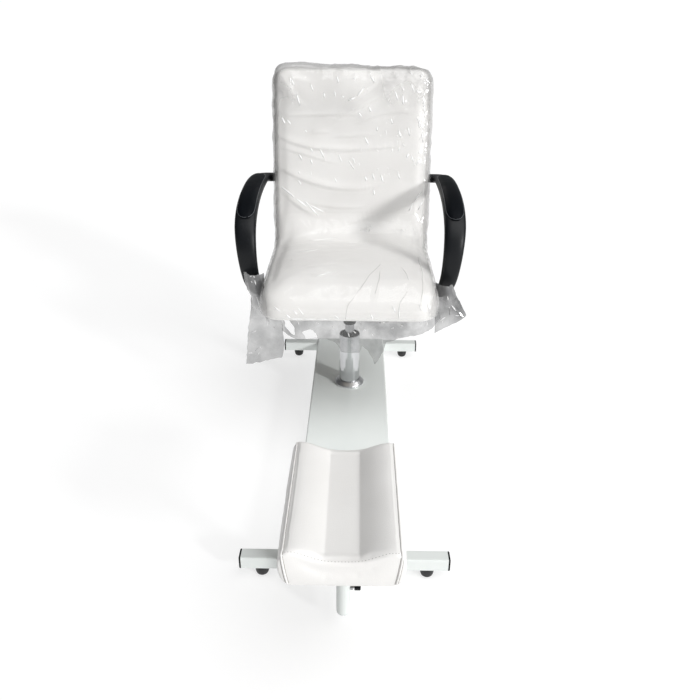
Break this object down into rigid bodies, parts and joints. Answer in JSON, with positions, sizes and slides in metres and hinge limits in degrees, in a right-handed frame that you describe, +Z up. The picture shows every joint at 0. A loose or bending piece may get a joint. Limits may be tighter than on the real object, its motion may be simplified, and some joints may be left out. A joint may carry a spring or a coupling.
{
  "type": "pedicure chair",
  "caption": "Upholstered pedicure chair with loop arms on a gas lift, standing on a long H-shaped steel base with a tilting padded footrest on a clamped post; film still wraps it.",
  "frame": {"origin": "middle of the bounding box on the floor, under the feet", "axes": "+Z up; -Y is the way the seat faces, towards the footrest; +X is to the right of someone facing the chair"},
  "size_m": [0.6534, 1.4752, 0.9776],
  "materials": {
    "white_paint": "satin white powder coat",
    "black_paint": "black enamel",
    "chrome": "bright chrome plate",
    "steel": "zinc-plated steel",
    "black_plastic": "satin black moulding",
    "arm_pad": "soft black moulding",
    "white_plastic": "white moulding",
    "rubber": "matt black rubber",
    "plywood": "raw plywood",
    "white_leather": "white leatherette over foam",
    "clear_film": "clear polyethylene film"
  },
  "bodies": {
    "base": {"rear_cross_tube": "white_paint", "front_cross_tube": "white_paint", "rear_end_cap_left": "black_plastic", "rear_end_cap_right": "black_plastic", "front_end_cap_left": "black_plastic", "front_end_cap_right": "black_plastic", "rear_foot_left": "rubber", "rear_foot_right": "rubber", "front_foot_left": "rubber", "front_foot_right": "rubber", "spine_beam_left": "white_paint", "spine_beam_right": "white_paint", "spine_cover": "white_paint", "lift_hub_plate": "black_paint", "lift_hub_tube": "black_paint", "column_collar": "chrome", "column_sleeve": "chrome", "lift_cylinder": "black_paint", "lift_guide_bush": "black_plastic", "footrest_bar": "white_paint", "footrest_sleeve": "white_paint", "sleeve_end_plug": "white_plastic", "clamp_nut": "steel"},
    "lift": {"lift_piston": "steel"},
    "seat": {"mechanism_tray": "black_paint", "piston_socket": "black_paint", "seat_board": "plywood", "seat_cushion": "white_leather", "back_board": "plywood", "back_cushion": "white_leather", "back_rear_pad": "white_leather", "back_angle_left": "black_paint", "back_angle_right": "black_paint", "arm_left": "black_plastic", "arm_right": "black_plastic", "arm_pad_left": "arm_pad", "arm_pad_right": "arm_pad", "arm_bolt_left_1": "steel", "arm_bolt_left_2": "steel", "arm_bolt_right_1": "steel", "arm_bolt_right_2": "steel", "film_tail_left": "clear_film", "film_tail_right": "clear_film", "film_skirt": "clear_film"},
    "lift_lever": {"lever_rod": "steel", "lever_axle": "steel", "lever_grip": "black_plastic"},
    "release_pin": {"lift_release_pin": "steel"},
    "footrest_post": {"footrest_post": "chrome", "post_fork": "black_paint", "tilt_bolt": "steel"},
    "footrest_head": {"head_bracket": "black_paint", "footrest_board": "plywood", "footrest_pad": "white_leather"},
    "tilt_knob": {"tilt_knob": "black_plastic"},
    "clamp": {"clamp_screw": "steel", "clamp_knob": "black_plastic"}
  },
  "joints": [
    {"name": "lift_slide", "type": "slide", "parent": "base", "child": "lift", "axis": [0, 0, 1], "range_m": [0, 0.11]},
    {"name": "seat_swivel", "type": "hinge", "parent": "lift", "child": "seat", "pos_m": [0, 0.326, 0.382], "axis": [0, 0, 1], "continuous": true},
    {"name": "lever_tip", "type": "hinge", "parent": "seat", "child": "lift_lever", "pos_m": [-0.04, 0.326, 0.3417], "axis": [0, 1, 0], "range_deg": [0, 5], "stiffness_Nm_per_rad": 4},
    {"name": "pin_press", "type": "slide", "parent": "lift", "child": "release_pin", "axis": [0, 0, -1], "range_m": [0, 0.0042]},
    {"name": "post_slide", "type": "slide", "parent": "base", "child": "footrest_post", "axis": [0, 0, 1], "range_m": [0, 0.05]},
    {"name": "footrest_tilt", "type": "hinge", "parent": "footrest_post", "child": "footrest_head", "pos_m": [0, -0.594, 0.2057], "axis": [1, 0, 0], "range_deg": [-20, 20]},
    {"name": "tilt_knob_turn", "type": "hinge", "parent": "footrest_post", "child": "tilt_knob", "pos_m": [0, -0.594, 0.2057], "axis": [1, 0, 0], "continuous": true},
    {"name": "clamp_turn", "type": "hinge", "parent": "base", "child": "clamp", "pos_m": [0, -0.594, 0.102], "axis": [1, 0, 0], "continuous": true}
  ],
  "couplings": [
    {"joint": "pin_press", "follows": "lever_tip", "m_per_rad": 0.045}
  ]
}
